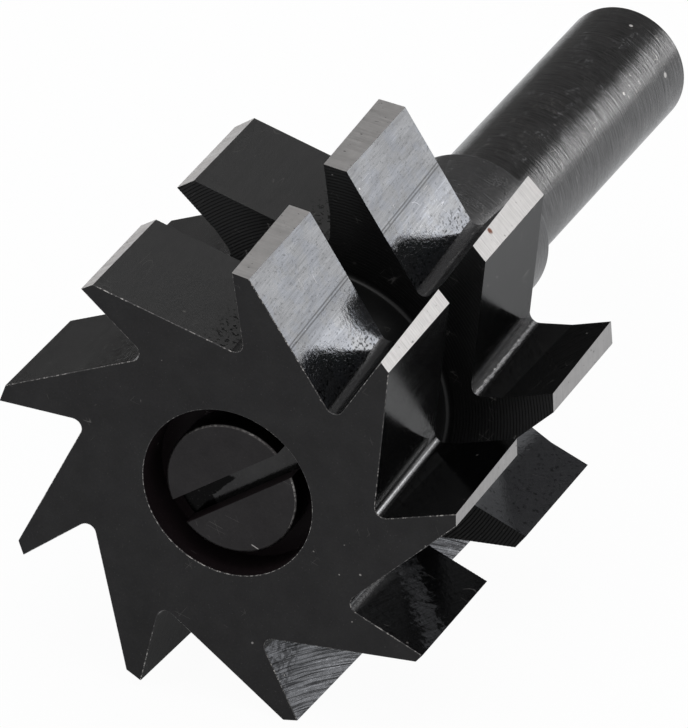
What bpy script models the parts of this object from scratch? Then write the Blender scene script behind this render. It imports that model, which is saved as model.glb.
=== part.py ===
"""Tongue and groove router bit: a gashed double cutter head clamped on a shanked arbor by a slotted screw.

Every piece is drawn about the tool's own axis. In tool coordinates +Z runs from the front face to the
end of the shank, +Y points down to the bench and +X to the right as seen from the front, so angles grow
clockwise as seen from the front. The tool is then laid down with its shank towards +Y.
"""

import math

import bmesh
import bpy
from mathutils import Matrix, Vector

MM = 0.001

# Toothed head
CUTTER_DIAMETER = 46.3 * MM
FRONT_WHEEL_WIDTH = 14.1 * MM
GROOVE_WIDTH = 8.6 * MM
REAR_WHEEL_WIDTH = 14.0 * MM
GROOVE_DEPTH = 11.05 * MM
GROOVE_CORNER_RADIUS = 0.5 * MM
FRONT_HOLLOW_ANGLE = math.radians(2.0)
COUNTERBORE_DIAMETER = 16.9 * MM
COUNTERBORE_DEPTH = 4.6 * MM

# Teeth and gashes
TOOTH_COUNT = 9
HELIX_ANGLE = math.radians(2.65)
HOOK_ANGLE = math.radians(9.2)
RELIEF_ANGLE = math.radians(8.0)
FRONT_LAND_WIDTH = 1.5 * MM
FRONT_FACE_DEPTH = 7.15 * MM
REAR_FACE_DEPTH = 4.0 * MM
GASH_DEPTH = 8.5 * MM
GASH_FLOOR_ANGLE = math.radians(1.0)
GASH_ROOT_RADIUS = 0.9 * MM

# Arbor
SPIGOT_DIAMETER = 9.5 * MM
SPIGOT_SETBACK = 0.5 * MM
SPIGOT_CHAMFER = 0.4 * MM
COLLAR_DIAMETER = 16.0 * MM
COLLAR_LENGTH = 19.7 * MM
COLLAR_CHAMFER = 0.25 * MM
SHANK_DIAMETER = 12.7 * MM
SHANK_LENGTH = 37.3 * MM
SHANK_CHAMFER = 0.2 * MM
SHOULDER_RADIUS = 0.6 * MM

# Screw
SCREW_HEAD_DIAMETER = 13.1 * MM
SCREW_HEAD_HEIGHT = 3.0 * MM
SCREW_HEAD_CHAMFER = 0.25 * MM
SCREW_SLOT_WIDTH = 2.55 * MM
SCREW_SLOT_DEPTH = 2.2 * MM
SCREW_SLOT_ANGLE = math.radians(-34.0)
SCREW_DIAMETER = 6.35 * MM
SCREW_LENGTH = 16.0 * MM
SCREW_TIP_CHAMFER = 0.8 * MM
TAPPED_HOLE_EXTRA_DEPTH = 3.0 * MM
DRILL_POINT_ANGLE = math.radians(59.0)

# Space that is left between touching pieces
FIT_GAP = 0.3 * MM

# Facets
TURNED_SEGMENTS = 72
SCREW_SEGMENTS = 48
ARC_STEPS = 4
GASH_ROOT_STEPS = 6
HELIX_STATIONS = 5
SMOOTH_ANGLE = math.radians(25.0)

# Worked out from the sizes above
CUTTER_RADIUS = CUTTER_DIAMETER / 2
TOOTH_PITCH = 2 * math.pi / TOOTH_COUNT
GROOVE_START = FRONT_WHEEL_WIDTH
GROOVE_END = GROOVE_START + GROOVE_WIDTH
HEAD_LENGTH = GROOVE_END + REAR_WHEEL_WIDTH
CORE_RADIUS = CUTTER_RADIUS - GROOVE_DEPTH
BORE_RADIUS = SPIGOT_DIAMETER / 2 + FIT_GAP
COLLAR_START = HEAD_LENGTH + FIT_GAP
COLLAR_END = COLLAR_START + COLLAR_LENGTH
OVERALL_LENGTH = COLLAR_END + SHANK_LENGTH
SPIGOT_START = COUNTERBORE_DEPTH + SPIGOT_SETBACK
SCREW_SEAT = COUNTERBORE_DEPTH - FIT_GAP
SCREW_TOP = SCREW_SEAT - SCREW_HEAD_HEIGHT
SCREW_TIP = SCREW_SEAT + SCREW_LENGTH
TAPPED_HOLE_RADIUS = SCREW_DIAMETER / 2 + FIT_GAP
TAPPED_HOLE_END = SCREW_TIP + TAPPED_HOLE_EXTRA_DEPTH

# How far cutting tools run past the metal that they cut, and the stock that the facing cut takes off
OVERCUT = 2.0 * MM
FACING_STOCK = 1.0 * MM


def clear_scene():
    """Remove every object that the scene already holds."""
    for existing in list(bpy.data.objects):
        bpy.data.objects.remove(existing, do_unlink=True)


def make_material(name, colour, roughness, metallic):
    """Return a plain material with one Principled BSDF."""
    material = bpy.data.materials.new(name)
    material.use_nodes = True
    shader = material.node_tree.nodes["Principled BSDF"]
    shader.inputs["Base Color"].default_value = (*colour, 1.0)
    shader.inputs["Roughness"].default_value = roughness
    shader.inputs["Metallic"].default_value = metallic
    return material


def turned(angle, point):
    """Return a point of the plane turned about the tool's axis."""
    return Matrix.Rotation(angle, 2) @ Vector(point)


def arc(centre, radius, start, end, steps):
    """Return the points of an arc in the plane, both ends included."""
    angles = [start + (end - start) * step / steps for step in range(steps + 1)]
    return [Vector((centre[0] + radius * math.cos(a), centre[1] + radius * math.sin(a))) for a in angles]


def land_line(tip):
    """Return the direction of the ground land behind a cutting edge, relieved from the circle."""
    outward = tip.normalized()
    around = Vector((-outward.y, outward.x))
    return around * math.cos(RELIEF_ANGLE) - outward * math.sin(RELIEF_ANGLE)


def cutting_edge(station):
    """Return the cutting edge of the tooth that lies on +X at the front, at a distance from the front face.

    A gash is one straight pass of a swivelled cutter, so its walls shift sideways and don't turn."""
    shift = station * math.tan(HELIX_ANGLE)
    return Vector((math.sqrt(CUTTER_RADIUS ** 2 - shift ** 2), -shift))


def face_end(station):
    """Return the inner end of the ground hook face, which runs out above the gash floor to the rear."""
    depth = FRONT_FACE_DEPTH + (REAR_FACE_DEPTH - FRONT_FACE_DEPTH) * station / HEAD_LENGTH
    return cutting_edge(station) + Vector((-depth, depth * math.tan(HOOK_ANGLE)))


def gash_corner(station):
    """Return the corner that the gash floor and the next back wall would make without their rounding."""
    end = face_end(station)
    run = end.x - (CUTTER_RADIUS - GASH_DEPTH)
    return end + Vector((-run, run * math.tan(GASH_FLOOR_ANGLE)))


def back_line():
    """Return the direction of the back wall of a gash, which ends at the heel before it at the front."""
    front_edge = cutting_edge(0.0)
    front_heel = front_edge + land_line(front_edge) * FRONT_LAND_WIDTH
    return (turned(-TOOTH_PITCH, front_heel) - gash_corner(0.0)).normalized()


def heel(station):
    """Return the back corner of the land, where it meets the back wall of the gash behind it."""
    tip = cutting_edge(station)
    land = land_line(tip)
    back = turned(TOOTH_PITCH, back_line())
    reach = turned(TOOTH_PITCH, gash_corner(station)) - tip
    return tip + land * reach.cross(back) / land.cross(back)


def gash_root(station):
    """Return the rounded root of the gash before the tooth on +X, from its back wall to its floor."""
    corner = gash_corner(station)
    back = back_line()
    floor = (face_end(station) - corner).normalized()
    half_angle = back.angle(floor) / 2
    centre = corner + (back + floor).normalized() * GASH_ROOT_RADIUS / math.sin(half_angle)
    tangent = GASH_ROOT_RADIUS / math.tan(half_angle)
    on_back = corner + back * tangent - centre
    on_floor = corner + floor * tangent - centre
    start = math.atan2(on_back.y, on_back.x)
    sweep = on_back.angle_signed(on_floor)
    return arc(centre, GASH_ROOT_RADIUS, start, start - sweep, GASH_ROOT_STEPS)


def resting_angle():
    """Return the turn that puts a cutting edge and the heel before it on the bench at the rear face."""
    chord = cutting_edge(HEAD_LENGTH) - turned(-TOOTH_PITCH, heel(HEAD_LENGTH))
    return math.pi - math.atan2(chord.y, chord.x)


def head_outline(station):
    """Return the toothed outline of the head at a distance from the front face."""
    tooth = [*gash_root(station), face_end(station), cutting_edge(station), heel(station)]
    first = resting_angle()
    return [turned(first + TOOTH_PITCH * index, point) for index in range(TOOTH_COUNT) for point in tooth]


def finish_mesh(name, shape, material, parent):
    """Turn a bmesh into a smooth-shaded object with sharp creases, carried by the tool's axis."""
    bmesh.ops.recalc_face_normals(shape, faces=shape.faces)
    mesh = bpy.data.meshes.new(name)
    shape.to_mesh(mesh)
    shape.free()
    mesh.shade_smooth()
    mesh.set_sharp_from_angle(angle=SMOOTH_ANGLE)
    piece = bpy.data.objects.new(name, mesh)
    piece.parent = parent
    bpy.context.scene.collection.objects.link(piece)
    if material is not None:
        mesh.materials.append(material)
    return piece


def revolved(name, profile, segments, material, parent):
    """Spin a closed profile of (radius, distance from the front face) pairs about the tool's axis."""
    shape = bmesh.new()
    corners = [shape.verts.new((radius, 0.0, station)) for radius, station in profile]
    edges = [shape.edges.new(pair) for pair in zip(corners, corners[1:])]
    if min(radius for radius, _ in profile) > 0:
        edges.append(shape.edges.new((corners[-1], corners[0])))
    bmesh.ops.spin(shape, geom=corners + edges, cent=(0, 0, 0), axis=(0, 0, 1),
                   angle=2 * math.pi, steps=segments, use_merge=True)
    bmesh.ops.remove_doubles(shape, verts=shape.verts, dist=MM / 1000)
    return finish_mesh(name, shape, material, parent)


def cut(piece, name, cutter):
    """Take a cutter's shape out of a piece with a Boolean modifier."""
    cutter.hide_render = True
    cutter.display_type = "WIRE"
    boolean = piece.modifiers.new(name, "BOOLEAN")
    boolean.operation = "DIFFERENCE"
    boolean.solver = "EXACT"
    boolean.object = cutter


def toothed_blank(name, material, parent):
    """Loft the toothed outline along the head, with stock left on the front for the facing cut."""
    shape = bmesh.new()
    span = HEAD_LENGTH + FACING_STOCK
    stations = [span * step / (HELIX_STATIONS - 1) - FACING_STOCK for step in range(HELIX_STATIONS)]
    rings = []
    for station in stations:
        corners = [shape.verts.new((*point, station)) for point in head_outline(station)]
        rings.append([shape.edges.new(pair) for pair in zip(corners, corners[1:] + corners[:1])])
    for near, far in zip(rings, rings[1:]):
        bmesh.ops.bridge_loops(shape, edges=near + far)
    for ring in (rings[0], rings[-1]):
        bmesh.ops.contextual_create(shape, geom=ring)
    return finish_mesh(name, shape, material, parent)


def front_and_bore_cutter(parent):
    """Return the shape that is turned away at the front: hollow face, counterbore and bore."""
    slope = math.tan(FRONT_HOLLOW_ANGLE)
    rim = COUNTERBORE_DIAMETER / 2
    profile = [
        (0.0, -2 * OVERCUT),
        (CUTTER_RADIUS + OVERCUT, -2 * OVERCUT),
        (CUTTER_RADIUS + OVERCUT, -OVERCUT * slope),
        (rim, (CUTTER_RADIUS - rim) * slope),
        (rim, COUNTERBORE_DEPTH),
        (BORE_RADIUS, COUNTERBORE_DEPTH),
        (BORE_RADIUS, HEAD_LENGTH + OVERCUT),
        (0.0, HEAD_LENGTH + OVERCUT),
    ]
    return revolved("front_and_bore_cutter", profile, TURNED_SEGMENTS, None, parent)


def groove_cutter(parent):
    """Return the ring that is turned away between the two wheels, with rounded bottom corners."""
    inner = CORE_RADIUS + GROOVE_CORNER_RADIUS
    front_corner = (inner, GROOVE_START + GROOVE_CORNER_RADIUS)
    rear_corner = (inner, GROOVE_END - GROOVE_CORNER_RADIUS)
    profile = [
        (CUTTER_RADIUS + OVERCUT, GROOVE_START),
        *arc(front_corner, GROOVE_CORNER_RADIUS, 1.5 * math.pi, math.pi, ARC_STEPS),
        *arc(rear_corner, GROOVE_CORNER_RADIUS, math.pi, 0.5 * math.pi, ARC_STEPS),
        (CUTTER_RADIUS + OVERCUT, GROOVE_END),
    ]
    return revolved("groove_cutter", profile, TURNED_SEGMENTS, None, parent)


def build_cutter_head(material, axis):
    """Model the gashed head with its two toothed wheels."""
    head = toothed_blank("cutter_head", material, axis)
    cut(head, "turned_front_and_bore", front_and_bore_cutter(axis))
    cut(head, "tongue_groove", groove_cutter(axis))
    return head


def build_arbor(material, axis):
    """Model the arbor: spigot with its tapped hole, collar and shank."""
    spigot = SPIGOT_DIAMETER / 2
    collar = COLLAR_DIAMETER / 2
    shank = SHANK_DIAMETER / 2
    hole = TAPPED_HOLE_RADIUS
    shoulder = (shank + SHOULDER_RADIUS, COLLAR_END + SHOULDER_RADIUS)
    profile = [
        (0.0, TAPPED_HOLE_END + hole / math.tan(DRILL_POINT_ANGLE)),
        (hole, TAPPED_HOLE_END),
        (hole, SPIGOT_START),
        (spigot - SPIGOT_CHAMFER, SPIGOT_START),
        (spigot, SPIGOT_START + SPIGOT_CHAMFER),
        (spigot, COLLAR_START),
        (collar - COLLAR_CHAMFER, COLLAR_START),
        (collar, COLLAR_START + COLLAR_CHAMFER),
        (collar, COLLAR_END - COLLAR_CHAMFER),
        (collar - COLLAR_CHAMFER, COLLAR_END),
        *arc(shoulder, SHOULDER_RADIUS, 1.5 * math.pi, math.pi, ARC_STEPS),
        (shank, OVERALL_LENGTH - SHANK_CHAMFER),
        (shank - SHANK_CHAMFER, OVERALL_LENGTH),
        (0.0, OVERALL_LENGTH),
    ]
    return revolved("arbor", profile, TURNED_SEGMENTS, material, axis)


def build_retaining_screw(material, axis):
    """Model the slotted cheese-head screw that clamps the head on the arbor."""
    head = SCREW_HEAD_DIAMETER / 2
    stem = SCREW_DIAMETER / 2
    profile = [
        (0.0, SCREW_TOP),
        (head - SCREW_HEAD_CHAMFER, SCREW_TOP),
        (head, SCREW_TOP + SCREW_HEAD_CHAMFER),
        (head, SCREW_SEAT),
        (stem, SCREW_SEAT),
        (stem, SCREW_TIP - SCREW_TIP_CHAMFER),
        (stem - SCREW_TIP_CHAMFER, SCREW_TIP),
        (0.0, SCREW_TIP),
    ]
    screw = revolved("retaining_screw", profile, SCREW_SEGMENTS, material, axis)
    slot = bmesh.new()
    bmesh.ops.create_cube(slot, size=1.0)
    size = Vector((SCREW_HEAD_DIAMETER + OVERCUT, SCREW_SLOT_WIDTH, SCREW_SLOT_DEPTH + OVERCUT))
    bmesh.ops.scale(slot, vec=size, verts=slot.verts)
    bmesh.ops.rotate(slot, cent=(0, 0, 0), matrix=Matrix.Rotation(SCREW_SLOT_ANGLE, 3, "Z"), verts=slot.verts)
    middle = SCREW_TOP + SCREW_SLOT_DEPTH - size.z / 2
    bmesh.ops.translate(slot, vec=(0, 0, middle), verts=slot.verts)
    cut(screw, "screwdriver_slot", finish_mesh("slot_cutter", slot, None, axis))
    return screw


def lay_down():
    """Add the empty that carries the tool, level on the bench with its middle over the origin."""
    outlines = head_outline(0.0) + head_outline(HEAD_LENGTH)
    axis_height = max(point.y for point in outlines)
    axis = bpy.data.objects.new("tool_axis", None)
    axis.location = (0.0, -OVERALL_LENGTH / 2, axis_height)
    axis.rotation_euler = (-math.pi / 2, 0.0, 0.0)
    bpy.context.scene.collection.objects.link(axis)
    return axis


def main():
    """Build the whole tool."""
    clear_scene()
    axis = lay_down()
    black_oxide = make_material("black_oxide_head", (0.035, 0.036, 0.040), 0.42, 1.0)
    dark_steel = make_material("dark_arbor_steel", (0.075, 0.076, 0.080), 0.36, 1.0)
    screw_steel = make_material("dark_screw_steel", (0.045, 0.046, 0.050), 0.38, 1.0)
    build_cutter_head(black_oxide, axis)
    build_arbor(dark_steel, axis)
    build_retaining_screw(screw_steel, axis)


main()
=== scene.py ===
"""Looks of a tongue and groove router bit that lies on its teeth.

It has a blackened, gashed double cutter head with ground lands, clamped by a slotted screw on
a dark turned arbor. Pieces are drawn about the tool's own axis, with +Z from the front face to
the end of the shank and +Y down to the bench, and are then laid down where the frame has them,
with the shank towards +Y of the scene.
"""

import logging
import math
from dataclasses import dataclass, field
from enum import Enum, IntEnum
from typing import Any, Iterable, Sequence

import bmesh
import bpy
from mathutils import Matrix, Vector


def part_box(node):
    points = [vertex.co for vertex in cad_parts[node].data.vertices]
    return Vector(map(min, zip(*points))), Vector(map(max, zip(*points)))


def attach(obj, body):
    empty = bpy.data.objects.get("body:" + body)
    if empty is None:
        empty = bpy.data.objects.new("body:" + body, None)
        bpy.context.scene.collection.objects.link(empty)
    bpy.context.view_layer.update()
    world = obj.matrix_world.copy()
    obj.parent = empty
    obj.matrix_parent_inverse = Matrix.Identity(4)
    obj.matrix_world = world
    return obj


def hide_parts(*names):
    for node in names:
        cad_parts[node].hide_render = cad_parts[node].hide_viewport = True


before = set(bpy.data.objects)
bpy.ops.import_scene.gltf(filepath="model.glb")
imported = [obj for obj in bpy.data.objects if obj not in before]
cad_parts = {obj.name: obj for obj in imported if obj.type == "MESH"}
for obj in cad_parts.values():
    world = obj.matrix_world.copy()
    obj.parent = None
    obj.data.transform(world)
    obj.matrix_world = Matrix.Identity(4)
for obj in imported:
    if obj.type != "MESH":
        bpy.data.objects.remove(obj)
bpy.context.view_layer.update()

log = logging.getLogger("router_bit")

MM = 0.001

BARE_METAL = (0.52, 0.50, 0.48, 1.0)
RUST = (0.11, 0.045, 0.030, 1.0)
COOLER = (0.95, 0.985, 1.07)
# Painted shade: a near-black, hardly glossy colour for the counterbore and the slot walls, as the
# shade in these recesses.
RECESS_SHADE = (0.011, 0.0078, 0.0086)
WHITE = (1.0, 1.0, 1.0, 1.0)

# How far apart two neighbouring teeth read the noise of their marks.
TOOTH_SHIFT = 3.7

# Millimetres behind the front face, in the groove, over which the front wheel's marks give way.
BETWEEN_WHEELS = (17.0, 19.0)

# How the noise of hairlines is stretched: across them, along the tool and along the lines.
HAIRLINE = (0.9, 0.35, 0.035)

Point = tuple[float, float]

# A spot in millimetres from the middle of the front face, in the scene's directions, and how far
# its mark spreads.
Mark = tuple[float, float, float, float]

# The middle of a scratch, to the right and upwards, its angle and half its length.
Nick = tuple[float, float, float, float]


class Body(Enum):
    """Bodies of the frame."""

    ROOT = "root"


class Slot(Enum):
    """Material slots of the record."""

    HEAD = "blackened_head"
    ARBOR = "dark_arbor"
    SCREW = "dark_screw"


class Zone(IntEnum):
    """Surfaces of the cutter head, in the order of its material slots."""

    FRONT = 0
    LAND = 1
    BACK = 2
    RAKE = 3
    FLOOR = 4
    ROOT = 5
    GROOVE_WALL = 6
    CORE = 7
    COUNTERBORE = 8
    REAR = 9
    WORN_EDGE = 10


class ScrewZone(IntEnum):
    """Surfaces of the screw, in the order of its material slots."""

    HEAD = 0
    SLOT_WALL = 1
    SLOT_FLOOR = 2


class Socket:
    """An output socket that can be used in Python arithmetic."""

    def __init__(self, graph: "Graph", output: bpy.types.NodeSocket) -> None:
        """Wrap an output socket.

        Args:
            graph: The graph that the socket belongs to.
            output: The node's output socket.
        """
        self.graph = graph
        self.output = output

    def _math(self, operation: str, *values: Any) -> "Socket":
        """Add a Math node.

        Args:
            operation: The node's operation.
            values: Its inputs, as numbers or wrapped sockets.

        Returns:
            The node's wrapped result.
        """
        return self.graph.node("ShaderNodeMath", {"operation": operation}, dict(enumerate(values)))

    def __add__(self, other: Any) -> "Socket":
        """Return the sum."""
        return self._math("ADD", self, other)

    __radd__ = __add__

    def __sub__(self, other: Any) -> "Socket":
        """Return the difference."""
        return self._math("SUBTRACT", self, other)

    def __rsub__(self, other: Any) -> "Socket":
        """Return the difference from another value."""
        return self._math("SUBTRACT", other, self)

    def __mul__(self, other: Any) -> "Socket":
        """Return the product."""
        return self._math("MULTIPLY", self, other)

    __rmul__ = __mul__

    def __truediv__(self, other: Any) -> "Socket":
        """Return the quotient."""
        return self._math("DIVIDE", self, other)

    def __rtruediv__(self, other: Any) -> "Socket":
        """Return the quotient of another value."""
        return self._math("DIVIDE", other, self)

    def __pow__(self, other: Any) -> "Socket":
        """Return the power."""
        return self._math("POWER", self, other)

    def __rpow__(self, other: Any) -> "Socket":
        """Return the power of another value."""
        return self._math("POWER", other, self)

    def __neg__(self) -> "Socket":
        """Return the value with its sign turned."""
        return self._math("MULTIPLY", self, -1.0)

    def larger(self, other: Any) -> "Socket":
        """Return the larger of this and another value."""
        return self._math("MAXIMUM", self, other)

    def smaller(self, other: Any) -> "Socket":
        """Return the smaller of this and another value."""
        return self._math("MINIMUM", self, other)

    def absolute(self) -> "Socket":
        """Return the value without its sign."""
        return self._math("ABSOLUTE", self)

    def sine(self) -> "Socket":
        """Return the sine."""
        return self._math("SINE", self)

    def cosine(self) -> "Socket":
        """Return the cosine."""
        return self._math("COSINE", self)

    def between(self, low: float, high: float) -> "Socket":
        """Return a smooth step from 0 at one value to 1 at another.

        Args:
            low: Where the step leaves 0.
            high: Where the step reaches 1.

        Returns:
            The wrapped step.
        """
        sockets = {"Value": self, "From Min": low, "From Max": high}
        return self.graph.node("ShaderNodeMapRange", {"interpolation_type": "SMOOTHSTEP"}, sockets)


class Graph:
    """Node tree of a material or a world, whose nodes are all made by one method."""

    def __init__(self, tree: bpy.types.NodeTree) -> None:
        """Start with an empty tree.

        Args:
            tree: The node tree to fill.
        """
        self.tree = tree
        self.tree.nodes.clear()

    def node(self, kind: str, settings: dict[str, Any] | None = None,
             sockets: dict[Any, Any] | None = None, output: int | str = 0) -> Socket | None:
        """Make a node from its type, settings and socket values.

        Args:
            kind: The node's type.
            settings: Its properties, which are set first.
            sockets: Its inputs by name or index, as values or wrapped sockets.
            output: The name or index of the output to return.

        Returns:
            The wrapped output, or None for a node that has none.
        """
        made = self.tree.nodes.new(kind)
        for name, value in (settings or {}).items():
            setattr(made, name, value)
        for name, value in (sockets or {}).items():
            if isinstance(value, Socket):
                self.tree.links.new(value.output, made.inputs[name])
            else:
                made.inputs[name].default_value = value
        if isinstance(output, str):
            return Socket(self, made.outputs[output])
        enabled = [socket for socket in made.outputs if socket.enabled]
        return Socket(self, enabled[output]) if enabled else None

    def place(self) -> "Place":
        """Return the point that is shaded, measured in millimetres from the tool's axis."""
        return Place(self)

    def attribute(self, name: str) -> Socket:
        """Return a number that the mesh keeps on its faces."""
        return self.node("ShaderNodeAttribute", {"attribute_name": name}, {}, "Fac")

    def ray(self, name: str) -> Socket:
        """Return whether the ray is of a kind."""
        return self.node("ShaderNodeLightPath", {}, {}, name)

    def joined(self, x: Any, y: Any, z: Any) -> Socket:
        """Return a vector of three values."""
        return self.node("ShaderNodeCombineXYZ", {}, {0: x, 1: y, 2: z})

    def noise(self, vector: Socket, scale: float, detail: float = 2.0,
              roughness: float = 0.5) -> Socket:
        """Return fractal noise about 0.5.

        Args:
            vector: Where it is read.
            scale: How fine it is.
            detail: How many octaves it has.
            roughness: How strong the finer octaves are.

        Returns:
            The wrapped noise.
        """
        sockets = {"Vector": vector, "Scale": scale, "Detail": detail, "Roughness": roughness}
        return self.node("ShaderNodeTexNoise", {}, sockets, "Fac")

    def blend(self, factor: Any, first: Any, second: Any) -> Socket:
        """Mix two colours.

        Args:
            factor: The share of the second colour.
            first: One colour.
            second: The other colour.

        Returns:
            The wrapped colour.
        """
        sockets = {0: factor, 6: first, 7: second}
        return self.node("ShaderNodeMix", {"data_type": "RGBA"}, sockets)

    def vector(self, operation: str, sockets: dict[Any, Any], output: int | str = 0) -> Socket:
        """Add a Vector Math node.

        Args:
            operation: The node's operation.
            sockets: Its inputs by name or index.
            output: The name or index of the output to return.

        Returns:
            The node's wrapped result.
        """
        return self.node("ShaderNodeVectorMath", {"operation": operation}, sockets, output)

    def scaled(self, vector: Any, factor: Any) -> Socket:
        """Return a vector or a colour times a number."""
        return self.vector("SCALE", {0: vector, "Scale": factor})

    def product(self, first: Any, second: Any) -> Socket:
        """Return two vectors or colours multiplied part by part."""
        return self.vector("MULTIPLY", {0: first, 1: second})

    def bump(self, height: Socket, distance: float) -> Socket:
        """Turn a height into a bumped normal.

        Args:
            height: The height.
            distance: What a height of 1 stands for, in metres.

        Returns:
            The wrapped normal.
        """
        sockets = {"Height": height, "Distance": distance, "Strength": 1.0}
        return self.node("ShaderNodeBump", {}, sockets)

    def metal(self, colour: Any, roughness: Any, normal: Socket | None, metallic: Any,
              **constants: Any) -> None:
        """Add a metallic surface and the material's output.

        Args:
            colour: The base colour.
            roughness: The roughness.
            normal: A bumped normal.
            metallic: How metallic it is.
            constants: Other values of the shader, the same all over the surface.
        """
        sockets = {"Base Color": colour, "Roughness": roughness, "Metallic": metallic, **constants}
        if normal is not None:
            sockets["Normal"] = normal
        surface = self.node("ShaderNodeBsdfPrincipled", {}, sockets)
        self.node("ShaderNodeOutputMaterial", {}, {"Surface": surface})


def new_material(name: str) -> tuple[bpy.types.Material, Graph]:
    """Make an empty material.

    Args:
        name: Its name.

    Returns:
        The material and its graph.
    """
    material = bpy.data.materials.new(name)
    material.use_nodes = True
    return material, Graph(material.node_tree)


class Place:
    """Where a surface point lies about the tool's axis, in millimetres."""

    def __init__(self, graph: Graph) -> None:
        """Read the object coordinates of a graph.

        Args:
            graph: The graph to read in.
        """
        self.graph = graph
        raw = graph.node("ShaderNodeTexCoord", {}, {}, "Object")
        shift = graph.vector("SUBTRACT", {0: raw, 1: TOOL.origin})
        self.point = graph.scaled(shift, 1 / MM)
        self.x = self._part("X")
        self.along = self._part("Y")
        self.z = self._part("Z")
        self.radius = (self.x * self.x + self.z * self.z) ** 0.5

    def _part(self, name: str) -> Socket:
        """Return one coordinate.

        Args:
            name: X, Y or Z.

        Returns:
            The wrapped coordinate.
        """
        return self.graph.node("ShaderNodeSeparateXYZ", {}, {0: self.point}, name)

    def stretched(self, across: float, along: float) -> Socket:
        """Return the point with its axial and cross directions scaled.

        Args:
            across: Scale in the plane across the tool.
            along: Scale along the tool.

        Returns:
            The wrapped point.
        """
        return self.graph.product(self.point, (across, along, across))

    def turned(self, angle: float, scale: Sequence[float]) -> Socket:
        """Return the point turned about the tool's axis and then scaled.

        Args:
            angle: The angle.
            scale: Scale of the three turned directions.

        Returns:
            The wrapped point.
        """
        sockets = {"Vector": self.point, "Axis": (0.0, 1.0, 0.0), "Angle": angle}
        point = self.graph.node("ShaderNodeVectorRotate", {"rotation_type": "AXIS_ANGLE"}, sockets)
        return self.graph.product(point, tuple(scale))

    def off_circle(self, radius: float, station: float) -> Socket:
        """Return the distance from a circle about the tool's axis.

        Args:
            radius: The circle's radius.
            station: Its distance from the front face.

        Returns:
            The wrapped distance.
        """
        out = self.radius - radius
        on = self.along - station
        return (out * out + on * on) ** 0.5

    def on_tooth(self, x: Any, y: Any) -> Socket:
        """Return a place in the plane of two values that differs from tooth to tooth."""
        return self.graph.joined(x, y, self.graph.attribute("gash") * TOOTH_SHIFT)

    def on_rear_wheel(self) -> Socket:
        """Return 1 on the rear wheel and 0 on the front one."""
        return self.along.between(*BETWEEN_WHEELS)

    def near_point(self, point: Sequence[float], reach: float) -> Socket:
        """Return 1 at a point, which falls to 0 away from it.

        Args:
            point: The point, in millimetres in the scene's directions from the middle of the
                front face.
            reach: How far it spreads.

        Returns:
            The wrapped value.
        """
        distance = self.graph.vector("DISTANCE", {0: self.point, 1: tuple(point)}, "Value")
        return distance.between(reach, reach * 0.5)


@dataclass(frozen=True)
class ToolFrame:
    """Where the frame has the tool."""

    front: float
    rear: float
    head_length: float
    axis_height: float

    @classmethod
    def from_frame(cls) -> "ToolFrame":
        """Read the tool's place from the frame's nodes.

        Returns:
            The tool's place.
        """
        arbor_low, arbor_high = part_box("arbor")
        head_low, head_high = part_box("cutter_head")
        height = (arbor_low.z + arbor_high.z) / 2
        return cls(head_low.y, arbor_high.y, head_high.y - head_low.y, height)

    @property
    def origin(self) -> Vector:
        """Return the middle of the front face."""
        return Vector((0.0, self.front, self.axis_height))

    @property
    def length(self) -> float:
        """Return the tool's length."""
        return self.rear - self.front

    @property
    def laid_down(self) -> Matrix:
        """Return the matrix from tool coordinates to the scene."""
        return Matrix.Translation(self.origin) @ Matrix.Rotation(-math.pi / 2, 4, "X")


TOOL = ToolFrame.from_frame()


def turned(angle: float, point: Sequence[float]) -> Vector:
    """Turn a point of the plane about the tool's axis.

    Args:
        angle: The angle.
        point: The point.

    Returns:
        The turned point.
    """
    return Matrix.Rotation(angle, 2) @ Vector(point)


def arc(centre: Sequence[float], radius: float, start: float, end: float, steps: int) -> list[Vector]:
    """Return the points of an arc in the plane.

    Args:
        centre: The arc's centre.
        radius: Its radius.
        start: The angle of its first point.
        end: The angle of its last point.
        steps: The number of chords.

    Returns:
        The points, both ends included.
    """
    angles = [start + (end - start) * step / steps for step in range(steps + 1)]
    return [Vector((centre[0] + radius * math.cos(angle), centre[1] + radius * math.sin(angle)))
            for angle in angles]


def rounded(corners: Sequence[Point], radius: float, steps: int = 3) -> list[Vector]:
    """Round the inner corners of an open line of points.

    Args:
        corners: The line's corners.
        radius: The radius at each corner, limited by its sides.
        steps: The chords of each rounding.

    Returns:
        The rounded line.
    """
    points = [Vector(corner) for corner in corners]
    line = [points[0]]
    for before, corner, after in zip(points, points[1:], points[2:]):
        back, on = before - corner, after - corner
        reach = min(radius, back.length * 0.45, on.length * 0.45)
        first = corner + back.normalized() * reach
        last = corner + on.normalized() * reach
        for step in range(steps + 1):
            part = step / steps
            curve = first * (1 - part) ** 2 + corner * 2 * part * (1 - part) + last * part ** 2
            line.append(curve)
    line.append(points[-1])
    return line


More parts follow.
